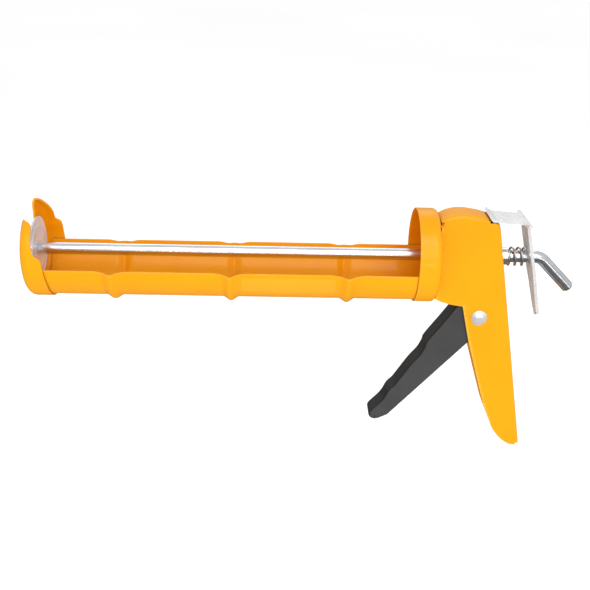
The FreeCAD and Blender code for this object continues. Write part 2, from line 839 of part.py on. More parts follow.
def ear_bar(corner):
    """The thumb tab: a bar across the bend that tapers to both ends."""
    x = corner.x
    half = ear_half_width
    deep = ear_depth / 2
    low = corner.z - release_sheet / 2
    flat = half * ear_flat_share
    points = [
        V(x - deep, -flat, low), V(x, -half, low), V(x + deep, -flat, low),
        V(x + deep, flat, low), V(x, half, low), V(x - deep, flat, low),
    ]
    return face(chain(points + [points[0]])).extrude(V(0, 0, release_sheet + ear_extra))


def release_hole():
    """The rod's hole, a little taller than wide so the plate can tilt."""
    x0 = release_axis_x - 2 * past
    x1 = release_axis_x + 2 * past
    upper = along(release_hole_radius, x0, x1, 0, release_hole_slot)
    lower = along(release_hole_radius, x0, x1)
    middle = block(x0, x1, -release_hole_radius, release_hole_radius, 0, release_hole_slot)
    return upper.fuse([lower, middle])


def release_spring():
    top_z = release_spring_radius + release_spring_wire / 2
    end_x = blade_x(top_z) - release_sheet / 2 - push_gap
    return coil(release_spring_radius, release_spring_wire, release_spring_turns,
                rear_bush_end_x, end_x)


# ---------------------------------------------------------------- output
def main():
    parts = {
        "cradle_trough": cradle_trough(),
        "front_cap": front_cap(),
        "rear_ring": rear_ring(),
        "frame_rivets": frame_rivets(),
        "front_rod_bush": front_rod_bush(),
        "rear_rod_bush": rear_rod_bush(),
        "handle_frame": handle_frame(),
        "trigger_lever": trigger(),
        "trigger_push_pin": trigger_push_pin(),
        "trigger_pivot_rivet": trigger_pivot_rivet(),
        "pivot_spacer": pivot_spacer(),
        "pivot_washers": pivot_washers(),
        "front_drive_plate": drive_plate(drive_front_x),
        "rear_drive_plate": drive_plate(drive_mid_x),
        "drive_spring_washer": drive_spring_washer(),
        "drive_spring": drive_spring(),
        "push_rod": push_rod(),
        "piston_disc": piston_disc(),
        "piston_washer": piston_washer(),
        "release_plate": release_plate(),
        "release_spring": release_spring(),
    }
    os.makedirs("parts", exist_ok=True)
    for name, shape in parts.items():
        box = shape.BoundBox
        print(f"{name:22s} solids {len(shape.Solids)} valid {shape.isValid()} volume {shape.Volume:9.1f}"
              f"  x {box.XMin:.1f}..{box.XMax:.1f} y {box.YMin:.1f}..{box.YMax:.1f}"
              f" z {box.ZMin:.1f}..{box.ZMax:.1f}")
        shape.exportStep(f"parts/{name}.step")


main()
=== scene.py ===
import math

import bpy
import bmesh
import numpy as np
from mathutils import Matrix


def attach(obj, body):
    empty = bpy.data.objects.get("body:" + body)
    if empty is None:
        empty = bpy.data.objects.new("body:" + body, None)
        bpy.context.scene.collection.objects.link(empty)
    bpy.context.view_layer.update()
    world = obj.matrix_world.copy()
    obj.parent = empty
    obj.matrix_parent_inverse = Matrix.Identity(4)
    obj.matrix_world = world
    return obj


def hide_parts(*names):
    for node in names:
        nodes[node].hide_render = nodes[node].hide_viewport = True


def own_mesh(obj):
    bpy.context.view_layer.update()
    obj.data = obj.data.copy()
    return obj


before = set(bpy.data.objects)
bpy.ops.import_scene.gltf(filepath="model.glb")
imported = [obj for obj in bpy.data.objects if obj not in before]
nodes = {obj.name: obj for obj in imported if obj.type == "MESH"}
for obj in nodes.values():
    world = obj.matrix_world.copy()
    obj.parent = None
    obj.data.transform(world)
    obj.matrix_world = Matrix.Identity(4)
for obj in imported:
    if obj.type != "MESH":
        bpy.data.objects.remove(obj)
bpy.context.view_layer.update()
scene = bpy.context.scene

# ------------------------------------------------------------------ camera, floor and light
# A plain studio: a wide pale floor well below the tool, broad soft lights in front and behind,
# a low soft sun, and a pale sky that fills the shadows.
camera_place = np.array([0.1475984, -0.4782743, 0.1871893])
camera_azimuth = math.radians(-0.7081)
camera_rise = math.radians(24.1498)
camera_roll = math.radians(1.2764)
camera_lens = 53.72
sensor_width = 36.0
camera_near = 0.01


def camera_matrix(place, azimuth, rise, roll):
    """The camera's three axes from its azimuth and rise, turned about its own line of sight."""
    back = np.array([math.sin(azimuth) * math.cos(rise), -math.cos(azimuth) * math.cos(rise),
                     math.sin(rise)])
    right = np.array([math.cos(azimuth), math.sin(azimuth), 0.0])
    up = np.cross(back, right)
    matrix = np.eye(4)
    matrix[:3, 0] = math.cos(roll) * right + math.sin(roll) * up
    matrix[:3, 1] = -math.sin(roll) * right + math.cos(roll) * up
    matrix[:3, 2] = back
    matrix[:3, 3] = place
    return matrix


lens = bpy.data.cameras.new("camera")
lens.sensor_width = sensor_width
lens.lens = camera_lens
lens.clip_start = camera_near
camera = bpy.data.objects.new("camera", lens)
camera.matrix_world = camera_matrix(camera_place, camera_azimuth, camera_rise, camera_roll).T.tolist()
scene.collection.objects.link(camera)
scene.camera = camera
scene.view_settings.view_transform = "Standard"

floor_height = -0.30
floor_reach = 14.0
floor_lines = 9
floor_glow = 0.22
smooth_up_to = math.radians(38)
join_distance = 2e-7
flat_distance = 1e-8


def grid_faces(rows, columns, wrap_rows=False, wrap_columns=False, flip=False):
    """The four corners of every cell of a grid, counted row by row.

    A wrapped direction joins its last line to its first. A face looks along
    row step x column step, or the other way when flipped.
    """
    i = np.arange(rows if wrap_rows else rows - 1)
    j = np.arange(columns if wrap_columns else columns - 1)
    a, b = (part.ravel() for part in np.meshgrid(i, j, indexing="ij"))
    c, d = (a + 1) % rows, (b + 1) % columns
    faces = np.stack([a * columns + b, c * columns + b, c * columns + d, a * columns + d], 1)
    return faces[:, ::-1] if flip else faces


def make_piece(name, grids, material=None):
    """One mesh from several grids: (points, faces) pairs stacked, with coincident points joined."""
    points, faces, start = [], [], 0
    for grid_points, cells in grids:
        flat = np.asarray(grid_points, float).reshape(-1, 3)
        points.append(flat)
        faces.append(cells + start)
        start += len(flat)
    mesh = bpy.data.meshes.new(name)
    mesh.from_pydata(np.vstack(points).tolist(), [], np.vstack(faces).tolist())
    joined = bmesh.new()
    joined.from_mesh(mesh)
    bmesh.ops.remove_doubles(joined, verts=joined.verts, dist=join_distance)
    bmesh.ops.dissolve_degenerate(joined, edges=joined.edges, dist=flat_distance)
    joined.to_mesh(mesh)
    joined.free()
    mesh.polygons.foreach_set("use_smooth", np.ones(len(mesh.polygons), bool))
    mesh.set_sharp_from_angle(angle=smooth_up_to)
    piece = bpy.data.objects.new(name, mesh)
    scene.collection.objects.link(piece)
    if material:
        mesh.materials.append(material)
    return piece


def new_material(name):
    material = bpy.data.materials.new(name)
    material.use_nodes = True
    material.node_tree.nodes.clear()
    return material, material.node_tree


def add(tree, kind, **settings):
    """A node of one kind, with its own settings and its inputs' values by socket name."""
    node = tree.nodes.new(kind)
    for key, value in settings.items():
        if key in node.inputs:
            node.inputs[key].default_value = value
        else:
            setattr(node, key, value)
    return node


def start_group(name, inputs, outputs):
    """An empty shader node group with named sockets, and its two end nodes."""
    group = bpy.data.node_groups.new(name, "ShaderNodeTree")
    for label, kind, value in inputs:
        socket = group.interface.new_socket(name=label, in_out="INPUT", socket_type=kind)
        socket.default_value = value
    for label, kind in outputs:
        group.interface.new_socket(name=label, in_out="OUTPUT", socket_type=kind)
    return group, add(group, "NodeGroupInput"), add(group, "NodeGroupOutput")


def map_range(tree, **ends):
    """A Map Range node with only the named ends set: From_Min, From_Max, To_Min, To_Max."""
    node = add(tree, "ShaderNodeMapRange")
    for label, value in ends.items():
        node.inputs[label.replace("_", " ")].default_value = value
    return node


def mottle_group():
    """Soft cloudy variation: large noise and small noise, mixed into one value from 0 to 1."""
    group, given, out = start_group(
        "mottle",
        [("Vector", "NodeSocketVector", (0, 0, 0)), ("Coarse", "NodeSocketFloat", 40.0),
         ("Fine", "NodeSocketFloat", 400.0)],
        [("Value", "NodeSocketFloat"), ("Fine Value", "NodeSocketFloat")])
    coarse = add(group, "ShaderNodeTexNoise", Detail=4.0, Roughness=0.55)
    fine = add(group, "ShaderNodeTexNoise", Detail=3.0, Roughness=0.6)
    spread = map_range(group, From_Min=0.32, From_Max=0.68)
    for node, scale in ((coarse, "Coarse"), (fine, "Fine")):
        group.links.new(given.outputs["Vector"], node.inputs["Vector"])
        group.links.new(given.outputs[scale], node.inputs["Scale"])
    group.links.new(coarse.outputs["Fac"], spread.inputs["Value"])
    group.links.new(spread.outputs["Result"], out.inputs["Value"])
    group.links.new(fine.outputs["Fac"], out.inputs["Fine Value"])
    return group


mottle = mottle_group()


def use_group(tree, group, vector=None, **values):
    """Places a shared group in a material, fed with a position and its own values."""
    node = add(tree, "ShaderNodeGroup", node_tree=group)
    for label, value in values.items():
        node.inputs[label.replace("_", " ")].default_value = value
    if vector is not None:
        tree.links.new(vector, node.inputs["Vector"])
    return node


def mix_colour(tree, factor, first, second):
    """A colour between two others; each may be a colour or another node's socket."""
    node = add(tree, "ShaderNodeMix", data_type="RGBA")
    for place, value in ((0, factor), (6, first), (7, second)):
        if isinstance(value, bpy.types.NodeSocket):
            tree.links.new(value, node.inputs[place])
        elif place == 0:
            node.inputs[0].default_value = value
        else:
            node.inputs[place].default_value = (*value, 1.0)
    return node.outputs[2]


def between(tree, value, low, high):
    """A number that runs from low to high as the value runs from 0 to 1."""
    node = map_range(tree, To_Min=low, To_Max=high)
    tree.links.new(value, node.inputs["Value"])
    return node.outputs["Result"]


def floor_material():
    material, tree = new_material("pale_floor")
    place = add(tree, "ShaderNodeTexCoord").outputs["Object"]
    cloud = use_group(tree, mottle, place, Coarse=1.5, Fine=60.0)
    shader = add(tree, "ShaderNodeBsdfPrincipled", Roughness=0.8)
    shader.inputs["Emission Color"].default_value = (1.0, 1.0, 1.0, 1.0)
    shader.inputs["Emission Strength"].default_value = floor_glow
    colour = mix_colour(tree, cloud.outputs["Value"], (0.93, 0.93, 0.93), (0.96, 0.96, 0.96))
    tree.links.new(colour, shader.inputs["Base Color"])
    end = add(tree, "ShaderNodeOutputMaterial")
    tree.links.new(shader.outputs[0], end.inputs[0])
    return material


across_floor = np.linspace(-floor_reach, floor_reach, floor_lines)
floor_x, floor_y = np.meshgrid(across_floor, across_floor, indexing="ij")
floor_points = np.stack([floor_x, floor_y, np.full_like(floor_x, floor_height)], -1)
floor = make_piece("floor", [(floor_points, grid_faces(floor_lines, floor_lines))], floor_material())

world = bpy.data.worlds.new("studio")
scene.world = world
world.use_nodes = True
sky_strength = 0.60
sky_above, sky_below = 1.0, 0.20
sky_fade = (-0.12, 0.30)


def studio_sky(tree):
    """An even pale sky. What shines off the metal sees it darker below the horizon, as off a
    dark table edge, which gives bars and edges their grey stripe."""
    plain = tree.nodes["Background"]
    plain.inputs["Strength"].default_value = sky_strength
    plain.inputs["Color"].default_value = (1.0, 1.0, 1.0, 1.0)
    shine = add(tree, "ShaderNodeBackground")
    parts = add(tree, "ShaderNodeSeparateXYZ")
    rise = map_range(tree, From_Min=sky_fade[0], From_Max=sky_fade[1], To_Min=sky_below, To_Max=sky_above)
    tree.links.new(add(tree, "ShaderNodeTexCoord").outputs["Generated"], parts.inputs[0])
    tree.links.new(parts.outputs["Z"], rise.inputs["Value"])
    tree.links.new(rise.outputs["Result"], shine.inputs["Strength"])
    choice = add(tree, "ShaderNodeMixShader")
    tree.links.new(add(tree, "ShaderNodeLightPath").outputs["Is Glossy Ray"], choice.inputs[0])
    tree.links.new(plain.outputs[0], choice.inputs[1])
    tree.links.new(shine.outputs[0], choice.inputs[2])
    tree.links.new(choice.outputs[0], tree.nodes["World Output"].inputs["Surface"])


studio_sky(world.node_tree)
floor.visible_glossy = False


def soft_light(name, place, target, size, power):
    """A rectangular soft light that looks at a point: place and target in metres."""
    data = bpy.data.lights.new(name, "AREA")
    data.shape = "RECTANGLE"
    data.size, data.size_y = size
    data.energy = power
    light = bpy.data.objects.new(name, data)
    back = np.array(place) - np.array(target)
    back /= np.linalg.norm(back)
    right = np.cross([0.0, 0.0, 1.0], back)
    right /= np.linalg.norm(right)
    matrix = np.eye(4)
    for column, axis in enumerate((right, np.cross(back, right), back, place)):
        matrix[:3, column] = axis
    light.matrix_world = matrix.T.tolist()
    scene.collection.objects.link(light)


soft_light("key", (0.25, -0.75, 1.05), (0.15, 0, 0), (0.9, 0.6), 3.5)
soft_light("strip", (0.45, -1.0, -0.06), (0.2, 0, 0), (1.3, 0.10), 1.6)
soft_light("back", (0.1, 1.0, 0.8), (0.15, 0, 0), (1.2, 0.5), 2.5)
sun_strength = 1.14
sun_spread, sun_tilt, sun_turn = math.radians(50), math.radians(54), math.radians(8)
overhead = bpy.data.lights.new("overhead", "SUN")
overhead.energy = sun_strength
overhead.angle = sun_spread
overhead_light = bpy.data.objects.new("overhead", overhead)
overhead_light.rotation_euler = (sun_tilt, 0.0, sun_turn)
scene.collection.objects.link(overhead_light)

# ------------------------------------------------------------------ cradle trough
# Half a tube of 1 mm steel sheet, rolled round the cartridge, with three ribs pressed outwards
# to stiffen it. It is spot welded into the cap and the ring, then sprayed with yellow enamel.
mm = 0.001
sheet_skin = 26.2
trough_wall = 1.0
trough_front = 5.4
trough_rear = 230.8
trough_edge = -3.7
rib_centres = (49.3, 116.3, 183.3)
rib_swell = 2.3
rib_half = 5.0
rib_dip = 1.5
rib_dip_half = 10.0
rib_lines = 41
least_step = 0.05


def bump_line(x, centres, half, height):
    """A row of smooth humps: half a cosine wave each, flat between them."""
    away = np.min(np.abs(x[:, None] - np.array(centres)[None, :]), axis=1) / half
    return np.where(away < 1, height * 0.5 * (1 + np.cos(np.pi * np.minimum(away, 1))), 0.0)


def edge_wear_and_highlight_group():
    """A mask on raised edges from the surface's own sharpness, broken up by noise: wear on the metals, and on
    the enamels mostly a painted highlight.
    """
    group, given, out = start_group(
        "edge wear and highlight",
        [("Vector", "NodeSocketVector", (0, 0, 0)), ("Scale", "NodeSocketFloat", 300.0),
         ("Sharpness", "NodeSocketFloat", 0.53), ("Amount", "NodeSocketFloat", 0.5)],
        [("Mask", "NodeSocketFloat")])
    shape = add(group, "ShaderNodeNewGeometry")
    noise = add(group, "ShaderNodeTexNoise", Detail=5.0, Roughness=0.65)
    edge = map_range(group, From_Max=0.62)
    patchy = map_range(group, From_Min=0.42, From_Max=0.62)
    both, scaled = (add(group, "ShaderNodeMath", operation="MULTIPLY") for _ in range(2))
    group.links.new(given.outputs["Vector"], noise.inputs["Vector"])
    group.links.new(given.outputs["Scale"], noise.inputs["Scale"])
    group.links.new(given.outputs["Sharpness"], edge.inputs["From Min"])
    group.links.new(shape.outputs["Pointiness"], edge.inputs["Value"])
    group.links.new(noise.outputs["Fac"], patchy.inputs["Value"])
    group.links.new(edge.outputs["Result"], both.inputs[0])
    group.links.new(patchy.outputs["Result"], both.inputs[1])
    group.links.new(both.outputs[0], scaled.inputs[0])
    group.links.new(given.outputs["Amount"], scaled.inputs[1])
    group.links.new(scaled.outputs[0], out.inputs["Mask"])
    return group


def dust_group():
    """Light dust and handling film: more on faces that look up, in soft patches."""
    group, given, out = start_group(
        "dust",
        [("Vector", "NodeSocketVector", (0, 0, 0)), ("Scale", "NodeSocketFloat", 60.0),
         ("Amount", "NodeSocketFloat", 0.2)],
        [("Mask", "NodeSocketFloat")])
    shape = add(group, "ShaderNodeNewGeometry")
    parts = add(group, "ShaderNodeSeparateXYZ")
    upward = map_range(group, From_Min=-0.2)
    noise = add(group, "ShaderNodeTexNoise", Detail=6.0, Roughness=0.7)
    patchy = map_range(group, From_Min=0.45, From_Max=0.75)
    both, scaled = (add(group, "ShaderNodeMath", operation="MULTIPLY") for _ in range(2))
    group.links.new(shape.outputs["Normal"], parts.inputs[0])
    group.links.new(parts.outputs["Z"], upward.inputs["Value"])
    group.links.new(given.outputs["Vector"], noise.inputs["Vector"])
    group.links.new(given.outputs["Scale"], noise.inputs["Scale"])
    group.links.new(noise.outputs["Fac"], patchy.inputs["Value"])
    group.links.new(upward.outputs["Result"], both.inputs[0])
    group.links.new(patchy.outputs["Result"], both.inputs[1])
    group.links.new(both.outputs[0], scaled.inputs[0])
    group.links.new(given.outputs["Amount"], scaled.inputs[1])
    group.links.new(scaled.outputs[0], out.inputs["Mask"])
    return group


edge_wear_and_highlight = edge_wear_and_highlight_group()
dust = dust_group()


enamel_deep, enamel_bright = (0.86, 0.340, 0.002), (0.92, 0.372, 0.003)
# Two of these colours are light and shade painted into the enamel: the pale edge yellow is partly wear and
# mostly a painted highlight on the rims, and the dark brown of the seams is painted shade.
enamel_panel, enamel_wear_and_highlight = (0.95, 0.42, 0.03), (1.0, 0.62, 0.16)
enamel_dust, painted_seam_shade = (0.70, 0.42, 0.08), (0.22, 0.07, 0.001)


def end_material(tree, shader, grain, strength, distance):
    """Gives a shader a fine bump from a grain value, and ends the material with it."""
    bump = add(tree, "ShaderNodeBump", Strength=strength, Distance=distance)
    tree.links.new(grain, bump.inputs["Height"])
    tree.links.new(bump.outputs[0], shader.inputs["Normal"])
    end = add(tree, "ShaderNodeOutputMaterial")
    tree.links.new(shader.outputs[0], end.inputs[0])


def yellow_enamel(name, panel=None):
    """Baked yellow enamel: a faint orange-peel skin, paler on edges (partly wear, mostly a painted
    highlight), darker in the seams as painted shade, clear gloss on top.

    panel is the box of a slightly paler masked area, as (x0, x1, z0, z1) in millimetres.
    """
    material, tree = new_material(name)
    place = add(tree, "ShaderNodeTexCoord").outputs["Object"]
    cloud = use_group(tree, mottle, place, Coarse=28.0, Fine=520.0)
    edge_mask = use_group(tree, edge_wear_and_highlight, place, Scale=700.0, Amount=0.8, Sharpness=0.515)
    film = use_group(tree, dust, place, Scale=90.0, Amount=0.04)
    colour = mix_colour(tree, cloud.outputs["Value"], enamel_deep, enamel_bright)
    if panel:
        parts = add(tree, "ShaderNodeSeparateXYZ")
        tree.links.new(place, parts.inputs[0])
        inside = None
        tests = [("X", "GREATER_THAN", panel[0]), ("X", "LESS_THAN", panel[1]),
                 ("Z", "GREATER_THAN", panel[2]), ("Z", "LESS_THAN", panel[3]), ("Y", "LESS_THAN", -20.0)]
        for axis, compare, limit in tests:
            test = add(tree, "ShaderNodeMath", operation=compare)
            tree.links.new(parts.outputs[axis], test.inputs[0])
            test.inputs[1].default_value = limit * mm
            if inside is None:
                inside = test.outputs[0]
            else:
                both = add(tree, "ShaderNodeMath", operation="MULTIPLY")
                tree.links.new(inside, both.inputs[0])
                tree.links.new(test.outputs[0], both.inputs[1])
                inside = both.outputs[0]
        softened = between(tree, inside, 0.0, 0.45)
        colour = mix_colour(tree, softened, colour, enamel_panel)
    # Painted highlight: the rims turn pale yellow, partly as wear, mostly standing in for the light they
    # catch.
    colour = mix_colour(tree, edge_mask.outputs["Mask"], colour, enamel_wear_and_highlight)
    colour = mix_colour(tree, film.outputs["Mask"], colour, enamel_dust)
    # Painted shade: where ambient occlusion finds a seam or corner within 2.2 mm, the enamel darkens towards
    # dark brown, standing in for the shadow between parts.
    seam_occlusion = add(tree, "ShaderNodeAmbientOcclusion", Distance=0.0022, samples=8)
    crease = map_range(tree, From_Min=0.80, From_Max=0.45, To_Max=0.80)
    tree.links.new(seam_occlusion.outputs["AO"], crease.inputs["Value"])
    colour = mix_colour(tree, crease.outputs["Result"], colour, painted_seam_shade)
    shader = add(tree, "ShaderNodeBsdfPrincipled")
    shader.inputs["Coat Weight"].default_value = 0.16
    shader.inputs["Coat Roughness"].default_value = 0.05
    shader.inputs["Specular IOR Level"].default_value = 0.10
    tree.links.new(colour, shader.inputs["Base Color"])
    tree.links.new(between(tree, cloud.outputs["Fine Value"], 0.24, 0.40), shader.inputs["Roughness"])
    end_material(tree, shader, cloud.outputs["Fine Value"], 0.12, 0.0002)
    return material


def finish_sheet(piece, thickness, round_edge=0.28, segments=2):
    """Gives a skin its wall, inwards from the outer face, and breaks its cut edges."""
    wall = piece.modifiers.new("wall", "SOLIDIFY")
    wall.thickness = thickness * mm
    wall.offset = -1.0
    edge = piece.modifiers.new("edges", "BEVEL")
    edge.width = round_edge * mm
    edge.segments = segments
    edge.limit_method = "ANGLE"
    edge.angle_limit = math.radians(50)
    edge.harden_normals = True


def trough_surface(along, around):
    """Half a tube: at x the radius is the sheet's plus the rib's hump, and the arc runs
    between the two long edges, whose height dips at each rib."""
    at_ribs = [np.linspace(centre - rib_dip_half, centre + rib_dip_half, rib_lines) for centre in rib_centres]
    x = np.sort(np.concatenate([np.linspace(trough_front, trough_rear, along)] + at_ribs))
    x = x[np.concatenate([[True], np.diff(x) > least_step])]
    radius = sheet_skin + bump_line(x, rib_centres, rib_half, rib_swell)
    height = trough_edge - bump_line(x, rib_centres, rib_dip_half, rib_dip)
    first = np.arcsin(-height / radius)
    turn = first[:, None] + (math.pi - 2 * first)[:, None] * np.linspace(0, 1, around)[None, :]
    points = np.stack([np.broadcast_to(x[:, None], turn.shape), radius[:, None] * np.cos(turn),
                       -radius[:, None] * np.sin(turn)], -1)
    return points * mm, grid_faces(len(x), around)


yellow = yellow_enamel("yellow_enamel")
masked_panel = (123, 176, -19, -6)
trough = make_piece("trough", [trough_surface(120, 72)], yellow_enamel("yellow_enamel_trough", masked_panel))
finish_sheet(trough, trough_wall)
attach(trough, "frame")
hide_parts("cradle_trough")

# ------------------------------------------------------------------ front cap
# A cup drawn from 1.1 mm sheet: a flat front with the nozzle's slot, two horns beside the slot,
# and a skirt that the trough sits in. Enamelled with the trough.
cup_radius = 27.3
cup_wall = 1.1
cap_corner = 4.6
slot_radius = 9.7
slot_top_half = 9.2
horn_tip_z = 20.9
near_share = 0.85
near_rim = np.array([
    (-27.3, 13.5), (-13.65, 13.5), (-7.0, 13.0), (-2.0, 12.5), (1.0, 12.1), (2.8, 11.5), (3.8, 10.5),
    (4.6, 9.0), (6.0, 7.8), (9.0, 7.0), (12.5, 6.6), (16.0, 6.5), (18.5, 6.5), (20.0, 6.3),
    (21.0, 5.7), (21.6, 4.8), (21.9, 3.5), (22.0, 2.0), (22.05, 0.8), (30.0, 0.0)])
far_rim = np.array([
    (-27.3, 13.5), (-13.65, 13.5), (-6.0, 13.1), (0.0, 12.4), (5.0, 12.1), (7.8, 11.6), (8.9, 10.4),
    (9.4, 8.9), (10.6, 8.3), (13.5, 8.3), (17.0, 8.8), (20.0, 9.3), (23.0, 8.8),
    (25.0, 6.8), (26.4, 3.8), (30.0, 1.2)])
far_rise = 1.6
far_draw_in = 0.5
far_rise_from, far_rise_span = 13, 12


def cap_surface(around, across_wall, across_skirt):
    """The cup's profile (wall, quarter round, skirt) turned about the axis.

    Each line runs from the slot's outline to the cup's rear rim, whose x depends on the height z.
    Above the axis the angle is a share of the slot's own angle at that radius, so that the last
    line follows the slot's straight side. The far horn is drawn in and raised towards its tip.
    """
    wall_radius = cup_radius - cap_corner
    tip_turn = math.acos(slot_top_half / wall_radius)
    turn = np.linspace(tip_turn, -math.pi - near_share * tip_turn, around)
    upper = np.where(turn > 0, turn / tip_turn, np.where(turn < -math.pi, (-math.pi - turn) / tip_turn, 0.0))
    near = turn < -math.pi / 2

    def place(x, radius):
        limit = np.arccos(np.clip(slot_top_half / radius, -1, 1))
        angle = np.where(upper[:, None] > 0,
                         np.where(near[:, None], -math.pi - upper[:, None] * limit, upper[:, None] * limit),
                         turn[:, None])
        return x, radius * np.cos(angle), radius * np.sin(angle)

    lift = upper * horn_tip_z
    side = slot_radius + (slot_top_half - slot_radius) * upper ** 3
    inner_y = np.where(upper > 0, np.where(near, -side, side), slot_radius * np.cos(turn))
    inner_z = np.where(upper > 0, lift, slot_radius * np.sin(turn))
    outer = place(0.0, np.full((around, 1), wall_radius))
    share = np.linspace(0, 1, across_wall)[None, :-1]
    wall = np.stack([np.zeros((around, across_wall - 1)),
                     inner_y[:, None] + share * (outer[1] - inner_y[:, None]),
                     inner_z[:, None] + share * (outer[2] - inner_z[:, None])], -1)

    quarter = cap_corner * math.pi / 2

    def profile(far_along):
        bend = np.minimum(far_along, quarter) / cap_corner
        x = cap_corner * (1 - np.cos(bend)) + np.maximum(far_along - quarter, 0)
        return x, wall_radius + cap_corner * np.sin(bend)

    tries = np.broadcast_to(np.linspace(0, quarter + 12, 500)[None, :], (around, 500))
    x, radius = profile(tries)
    _, _, z = place(x, radius)
    rim = np.where(near[:, None], np.interp(z, near_rim[:, 0], near_rim[:, 1]),
                   np.interp(z, far_rim[:, 0], far_rim[:, 1]))
    beyond = x - rim
    first = np.argmax(beyond > 0, axis=1)
    row = np.arange(around)
    part = -beyond[row, first - 1] / (beyond[row, first] - beyond[row, first - 1])
    stop = tries[row, first - 1] + part * (tries[row, first] - tries[row, first - 1])
    reach = stop[:, None] * np.linspace(0, 1, across_skirt)[None, :]
    x, radius = profile(reach)
    x, y, z = place(x, radius)
    skirt = np.stack([x, y, z], -1)
    points = np.concatenate([wall, skirt], axis=1)
    up = np.clip((points[..., 2] - far_rise_from) / far_rise_span, 0, 1) * (~near)[:, None]
    up = up * up * (3 - 2 * up)
    points[..., 0] *= 1 - far_draw_in * up
    points[..., 2] += far_rise * up
    return points * mm, grid_faces(around, points.shape[1], flip=True)


cap = make_piece("cap", [cap_surface(220, 16, 40)], yellow)
finish_sheet(cap, cup_wall)
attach(cap, "frame")
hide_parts("front_cap")

# ------------------------------------------------------------------ rear ring
# A shallow cup of the same sheet, open at the front, with its wall against the handle. The
# cartridge's rear end drops into it, and the rod's front bush is pressed into its middle.
ring_back = 234.6
ring_front = 222.3
ring_corner = 3.0
ring_hole = 5.0


def turned(profile, sides, origin=(0, 0, 0), axis="X", sign=1, closed=False):
    """A profile of (distance along the axis, radius) points turned once about the axis."""
    profile = np.asarray(profile, float)
    angle = np.linspace(0, 2 * math.pi, sides, endpoint=False)[None, :]
    length = sign * profile[:, :1] + 0 * angle
    first = profile[:, 1:] * np.cos(angle)
    second = profile[:, 1:] * np.sin(angle) * sign
    order = {"X": (length, first, second), "Y": (second, length, first)}[axis]
    points = (np.stack(order, -1) + np.array(origin)) * mm
    return points, grid_faces(len(profile), sides, wrap_rows=closed, wrap_columns=True)


def quarter_round(centre, radius, start, stop, count):
    """Points on part of a circle, from one angle to another in degrees."""
    angle = np.radians(np.linspace(start, stop, count))
    return np.stack([centre[0] + radius * np.cos(angle), centre[1] + radius * np.sin(angle)], 1)


ring_profile = np.vstack([
    np.stack([np.full(8, ring_back), np.linspace(ring_hole, cup_radius - ring_corner, 8)], 1)[:-1],
    quarter_round((ring_back - ring_corner, cup_radius - ring_corner), ring_corner, 0, 90, 12),
    np.stack([np.linspace(ring_back - ring_corner, ring_front, 8), np.full(8, cup_radius)], 1)[1:],
])
ring = make_piece("ring", [turned(ring_profile, 160)], yellow)
finish_sheet(ring, cup_wall)
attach(ring, "frame")
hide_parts("rear_ring")

# ------------------------------------------------------------------ handle
# One blank of 1.2 mm sheet folded into a channel: a crowned top and a straight back with two
# side panels, which turn out at the front as flanges riveted to the ring.
handle_half = 8.5
handle_wall = 1.2
handle_fold = 2.4
flange_face = 235.8
flange_edge = 15.5
window_front = 263.0
window_low = 22.7
flange_rows = (2, 59)
tongue_face, tongue_half = 267.6, 4.0
tongue_low, tongue_high = 18.1, 24.1


def evened(line, count):
    """The same line with its points equally far apart."""
    line = np.asarray(line, float)
    far = np.concatenate([[0.0], np.cumsum(np.linalg.norm(np.diff(line, axis=0), axis=1))])
    want = np.linspace(0, far[-1], count)
    return np.stack([np.interp(want, far, line[:, k]) for k in range(line.shape[1])], 1)


def smooth_through(points, count):
    """A smooth line through the points: each span is a cubic whose end slopes are half the step
    between the points on either side, then its samples are evened out."""
    p = np.asarray(points, float)
    q = np.vstack([2 * p[0] - p[1], p, 2 * p[-1] - p[-2]])
    a, b, c, d = q[:-3, None], q[1:-2, None], q[2:-1, None], q[3:, None]
    t = np.linspace(0, 1, 24, endpoint=False)[:, None]
    spans = 0.5 * (2 * b + (c - a) * t + (2 * a - 5 * b + 4 * c - d) * t ** 2
                   + (3 * b - a - 3 * c + d) * t ** 3)
    return evened(np.vstack([spans.reshape(-1, p.shape[1]), p[-1:]]), count)


def chained(*lines):
    """Lines end to end, each shared end kept once."""
    return np.vstack([lines[0]] + [line[1:] for line in lines[1:]])


def channel_surface(spine, rim, half, fold, web_columns, panel_columns, raised=0.0):
    """A channel's section carried along its spine: on each side a flat panel ruled from the rim
    to the fold, a quarter round, and the web between them. The inside is to the spine's right."""
    way = np.gradient(spine, axis=0)
    way /= np.linalg.norm(way, axis=1)[:, None]
    inward = np.stack([way[:, 1], -way[:, 0]], 1)
    turn = np.radians(np.linspace(0, 90, 7))
    depth = fold * (1 - np.sin(turn))
    offset = -(half - fold + fold * np.cos(turn))
    web = np.linspace(-(half - fold), half - fold, web_columns)[1:-1]
    depth = np.concatenate([depth, np.zeros(len(web)), depth[::-1]])
    offset = np.concatenate([offset, web, -offset[::-1]])
    over_web = np.sin(np.pi * np.linspace(0, 1, web_columns)[1:-1]) ** 0.3
    flat_web = np.concatenate([np.zeros(7), over_web, np.zeros(7)])
    lift = np.asarray(raised, float).reshape(-1, 1) * flat_web[None, :]
    fold_xz = spine[:, None] + inward[:, None] * (depth[None, :] - lift)[..., None]
    folded = np.stack([fold_xz[..., 0], np.broadcast_to(offset, fold_xz.shape[:2]), fold_xz[..., 1]], -1)
    share = np.linspace(0, 1, panel_columns)[None, :-1, None]
    flat = rim[:, None] + share * (fold_xz[:, :1] - rim[:, None])
    near = np.stack([flat[..., 0], np.full(flat.shape[:2], -half), flat[..., 1]], -1)
    far = near[:, ::-1] * np.array([1, -1, 1])
    return near, folded, far


